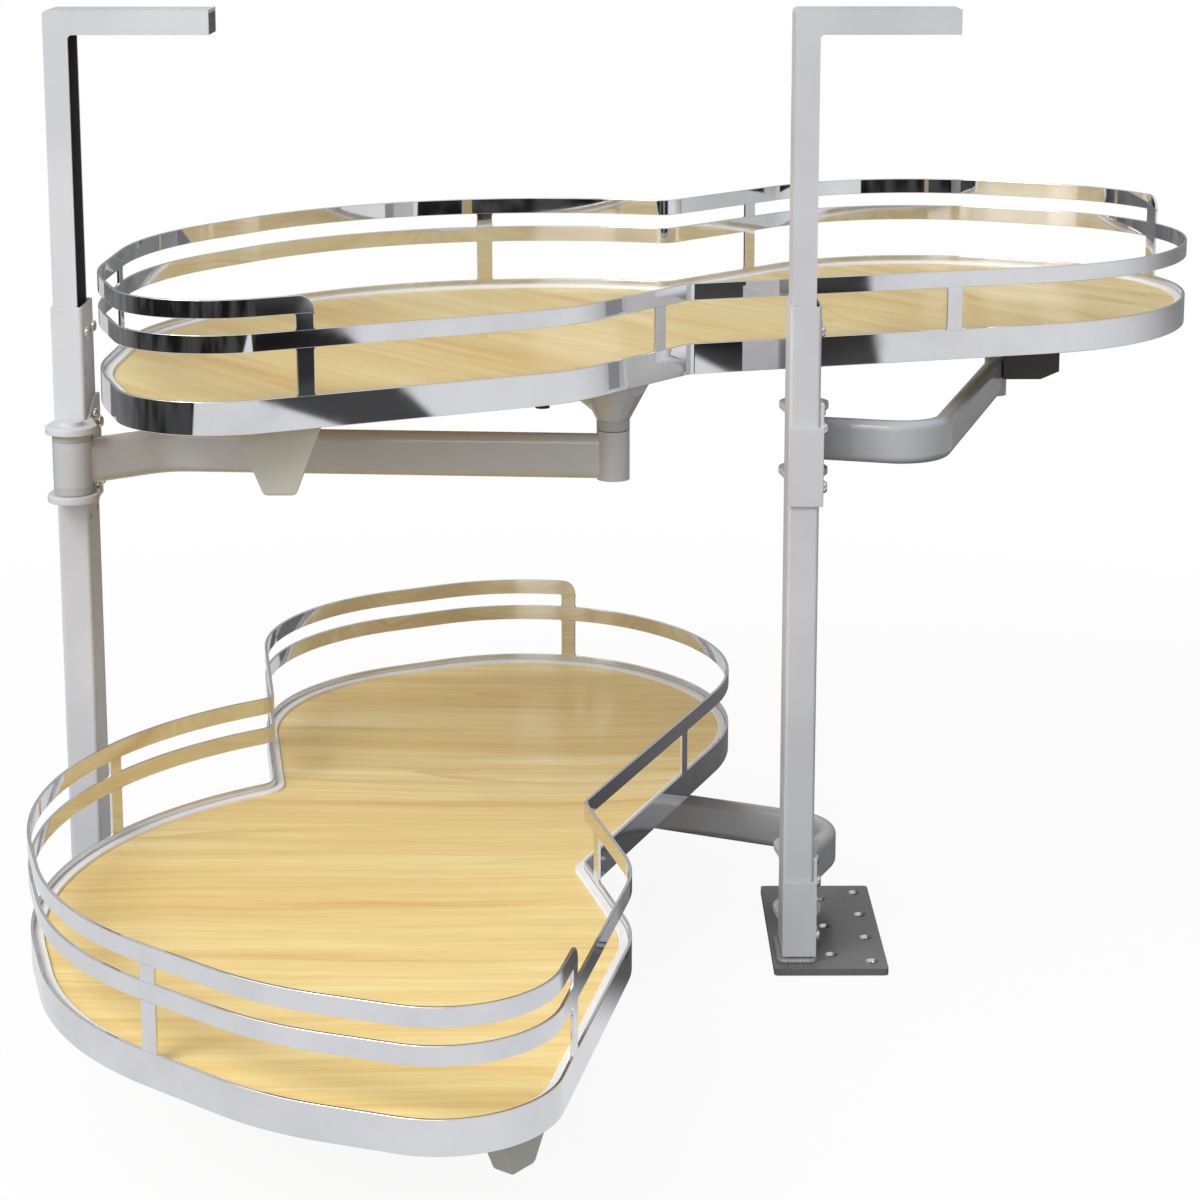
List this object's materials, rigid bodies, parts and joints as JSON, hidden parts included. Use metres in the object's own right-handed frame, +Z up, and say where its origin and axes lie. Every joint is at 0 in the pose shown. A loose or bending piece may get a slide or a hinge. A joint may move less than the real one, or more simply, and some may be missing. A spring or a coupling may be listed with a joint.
{
  "type": "blind corner pull out",
  "caption": "Blind corner cupboard pull out: kidney trays with chrome rails swing out on cranked arms from two floor-to-top posts.",
  "frame": {"origin": "right post's centre line at the underside of its base plate", "axes": "+X to the right across the door opening, +Y into the cupboard, +Z up along the posts"},
  "size_m": [0.812, 0.9274, 0.66],
  "materials": {
    "powder_coat": "smooth silver-grey powder coat",
    "base_coat": "grey powder coat",
    "arm_coat": "warm grey gloss coat",
    "bright_chrome": "mirror chrome",
    "zinc": "zinc plated",
    "maple": "clear-lacquered pale maple",
    "white_edge": "satin white",
    "dark_plastic": "fine-grained dark grey",
    "grey_plastic": "satin grey",
    "bush_plastic": "natural grey acetal"
  },
  "bodies": {
    "frame": {"left_base_plate": "base_coat", "left_tube": "powder_coat", "left_top_bracket": "powder_coat", "left_clamp_screws": "zinc", "right_base_plate": "base_coat", "right_tube": "powder_coat", "right_top_bracket": "powder_coat", "right_clamp_screws": "zinc", "upper_left_fork": "powder_coat", "upper_left_pin": "zinc", "upper_left_screws": "zinc", "upper_right_fork": "powder_coat", "upper_right_pin": "zinc", "upper_right_screws": "zinc", "lower_left_fork": "powder_coat", "lower_left_pin": "zinc", "lower_left_screws": "zinc", "lower_right_fork": "powder_coat", "lower_right_pin": "zinc", "lower_right_screws": "zinc"},
    "upper_main": {"upper_main_arm": "arm_coat", "upper_main_bushes": "bush_plastic"},
    "upper_guide": {"upper_guide_arm": "arm_coat", "upper_guide_bushes": "bush_plastic", "upper_guide_pin": "zinc", "upper_damper_box": "dark_plastic"},
    "upper_tray": {"upper_floor_board": "maple", "upper_edge_liner": "white_edge", "upper_band": "bright_chrome", "upper_mid_rail": "bright_chrome", "upper_top_rail": "bright_chrome", "upper_uprights": "bright_chrome", "upper_pivot_cone": "arm_coat", "upper_pivot_collar": "bush_plastic", "upper_pivot_pin": "zinc", "upper_guide_plate": "base_coat", "upper_plate_screws": "zinc", "upper_grip_wedge": "grey_plastic", "upper_bumper": "grey_plastic"},
    "lower_main": {"lower_main_arm": "arm_coat", "lower_main_bushes": "bush_plastic"},
    "lower_guide": {"lower_guide_arm": "arm_coat", "lower_guide_bushes": "bush_plastic", "lower_guide_pin": "zinc", "lower_damper_box": "dark_plastic"},
    "lower_tray": {"lower_floor_board": "maple", "lower_edge_liner": "white_edge", "lower_band": "bright_chrome", "lower_mid_rail": "bright_chrome", "lower_top_rail": "bright_chrome", "lower_uprights": "bright_chrome", "lower_pivot_cone": "arm_coat", "lower_pivot_collar": "bush_plastic", "lower_pivot_pin": "zinc", "lower_guide_plate": "base_coat", "lower_plate_screws": "zinc", "lower_grip_wedge": "grey_plastic", "lower_bumper": "grey_plastic"}
  },
  "joints": [
    {"name": "upper_main_pivot", "type": "hinge", "parent": "frame", "child": "upper_main", "pos_m": [-0.486, -0.04, 0.364], "axis": [0, 0, 1], "range_deg": [-19.05, 5]},
    {"name": "upper_tray_pivot", "type": "hinge", "parent": "upper_main", "child": "upper_tray", "pos_m": [-0.12794, -0.02037, 0.364], "axis": [0, 0, 1], "range_deg": [-17, 70]},
    {"name": "upper_guide_pivot", "type": "hinge", "parent": "frame", "child": "upper_guide", "pos_m": [0.004, 0.04, 0.364], "axis": [0, 0, 1], "range_deg": [-17.84, 71.9]},
    {"name": "lower_main_pivot", "type": "hinge", "parent": "frame", "child": "lower_main", "pos_m": [-0.486, -0.04, 0.044], "axis": [0, 0, 1], "range_deg": [-1.56, 24.64]},
    {"name": "lower_tray_pivot", "type": "hinge", "parent": "lower_main", "child": "lower_tray", "pos_m": [-0.15534, -0.17876, 0.044], "axis": [0, 0, 1], "range_deg": [-68, 3]},
    {"name": "lower_guide_pivot", "type": "hinge", "parent": "frame", "child": "lower_guide", "pos_m": [0.004, 0.04, 0.044], "axis": [0, 0, 1], "range_deg": [-75.98, 3.83]}
  ],
  "couplings": [
    {"joint": "upper_main_pivot", "follows": "upper_tray_pivot", "ratio": -0.265},
    {"joint": "upper_guide_pivot", "follows": "upper_tray_pivot", "ratio": 1.02},
    {"joint": "lower_main_pivot", "follows": "lower_tray_pivot", "ratio": -0.355},
    {"joint": "lower_guide_pivot", "follows": "lower_tray_pivot", "ratio": 1.11}
  ]
}
